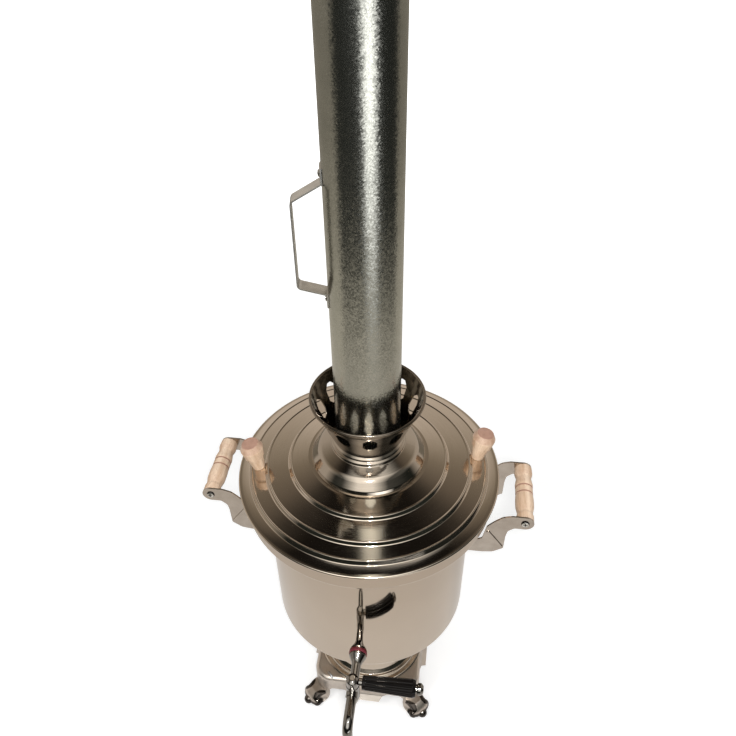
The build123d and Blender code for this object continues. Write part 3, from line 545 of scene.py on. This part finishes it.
# Directions are in radians, from straight in front towards the right. Between the two numbers of an edge the
# thing fades in or out.
doorway_middle = 0.47
doorway_edge = (0.10, 0.40)
cloth_middle = 0.38
cloth_side_edge = (1.41, 1.66)
cloth_near_edge = (0.65, 1.4)
black = (0, 0, 0, 1)
floor_white, start = new_finish("floor white")
where = start.node("TexCoord", output="Object")
x = where.node("SeparateXYZ", None, {0: where}, "X")
y = x["Y"]
away = x.math("SQRT", x * x + y * y)
path = start.node("LightPath", output="Is Camera Ray")
glossy = path["Is Glossy Ray"]
azimuth = x.math("ARCTAN2", x, y * -1)
from_doorway = x.math("ABSOLUTE", azimuth - doorway_middle)
doorway = spread(from_doorway, *doorway_edge, 1, 0)
folds = (noise(where, 3, 2) - 0.5) * 0.2
from_middle = x.math("ABSOLUTE", azimuth - cloth_middle)
cloth = spread(from_middle + folds, *cloth_side_edge, 1, 0)
cloth = cloth * spread(away + folds, *cloth_near_edge, 0, 1)
paper = away.node(
    "ValToRGB",
    {
        "stops": [
            (0.05, (0.88, 0.85, 0.82, 1)),
            (0.15, (0.66, 0.61, 0.56, 1)),
            (0.30, (0.74, 0.68, 0.57, 1)),
            (0.65, (0.46, 0.415, 0.34, 1)),
        ]
    },
    {"Fac": away / 3},
)
seen_by_metal = mix(cloth, paper, (0.03, 0.032, 0.028, 1))
# Painted light: a strip of light from a doorway glows on the paper, where only metal sees it.
painted_doorway_light = doorway * cloth * spread(away, 0.9, 2.4, 0.02, 1.0)
painted_doorway_light = mix(painted_doorway_light, black, (1.5, 1.5, 1.5, 1))
bleached = mix(spread(away, 0.6, 2.0, 0.13, 0.5), black, (1, 1, 1, 1))
shade(
    floor_white,
    {
        "Base Color": mix(glossy, (0.90, 0.90, 0.895, 1), seen_by_metal),
        "Roughness": 0.9,
        "Specular IOR Level": 0.0,
        "Emission Color": mix(glossy, mix(path, black, bleached), painted_doorway_light),
        "Emission Strength": 2.2,
    },
)
floor.data.materials.append(floor_white)

world = bpy.data.worlds.new("studio")
bpy.context.scene.world = world
world.use_nodes = True
start = Wire(world.node_tree)
where = start.node("TexCoord", output="Generated")
x = where.node("SeparateXYZ", None, {0: where}, "X")
y, z = x["Y"], x["Z"]
rear = z.node(
    "ValToRGB",
    {
        "stops": [
            (0.0, (0.74, 0.67, 0.60, 1)),
            (0.42, (0.74, 0.66, 0.58, 1)),
            (0.60, (0.46, 0.40, 0.33, 1)),
            (0.70, (0.29, 0.245, 0.19, 1)),
            (0.80, (0.17, 0.14, 0.11, 1)),
            (0.86, (0.05, 0.042, 0.033, 1)),
            (0.91, (0.012, 0.010, 0.008, 1)),
            (1.0, (0.010, 0.009, 0.008, 1)),
        ]
    },
    {"Fac": z},
)
ceiling = spread(z, 0.28, 0.5, 0, 1) * spread(z, 0.96, 1.0, 1, 0.2)
ceiling = ceiling * spread(x.math("ABSOLUTE", x), 0.22, 0.62, 1, 0.06)
front = mix(ceiling, (0.022, 0.026, 0.022, 1), (2.2, 2.15, 2.05, 1))
studio = mix(spread(y - x * 0.3, -0.25, 0.05, 0, 1), front, rear)
path = start.node("LightPath", output="Is Camera Ray")
seen = path.math("MAXIMUM", path["Is Glossy Ray"], path["Is Transmission Ray"])
colour = mix(seen, (0.58, 0.58, 0.58, 1), studio)
colour = mix(path, colour, (1, 1, 1, 1))
back = world.node_tree.nodes["Background"]
world.node_tree.links.new(colour.socket, back.inputs["Color"])
back.inputs["Strength"].default_value = 1.0

lit_place = (0, 0, 0.45)  # on the vessel's axis, in its collar


def soft_lamp(name, place, size, watts):
    """A square lamp that faces the vessel."""
    data = bpy.data.lights.new(name, "AREA")
    data.shape = "RECTANGLE"
    data.size = data.size_y = size
    data.energy = watts
    lamp = bpy.data.objects.new(name, data)
    lamp.location = place
    lamp.rotation_euler = (Vector(lit_place) - Vector(place)).to_track_quat("-Z", "Y").to_euler()
    bpy.context.scene.collection.objects.link(lamp)
    return lamp


key = soft_lamp("key lamp", (-1.2, -1.2, 2.4), size=0.5, watts=13)
fill = soft_lamp("fill lamp", (1.4, -0.9, 2.2), size=0.4, watts=7)
key.visible_glossy = False
fill.visible_glossy = False
soft_lamp("flash lamp", (0.11, -0.66, 1.2), size=0.08, watts=6)

# Camera. It is held in front of the samovar, a little above the pipe's upper end, and tipped well down, so
# that all heights are foreshortened.

camera_place = (0.0856, -0.6008, 1.1385)
pitch, yaw, roll = radians(40.53), radians(8.0), radians(-0.996)
ahead = Vector((-sin(yaw) * cos(pitch), cos(yaw) * cos(pitch), -sin(pitch)))
level = Vector((cos(yaw), sin(yaw), 0))
upright = level.cross(ahead)
right = cos(roll) * level + sin(roll) * upright
up = -sin(roll) * level + cos(roll) * upright
camera_data = bpy.data.cameras.new("camera")
camera_data.lens = 35.66
camera_data.clip_start = 0.02
camera = bpy.data.objects.new("camera", camera_data)
turn = Matrix((right, up, -ahead)).transposed().to_4x4()
camera.matrix_world = Matrix.Translation(camera_place) @ turn
bpy.context.scene.collection.objects.link(camera)
bpy.context.scene.camera = camera
bpy.context.scene.view_settings.view_transform = "Standard"
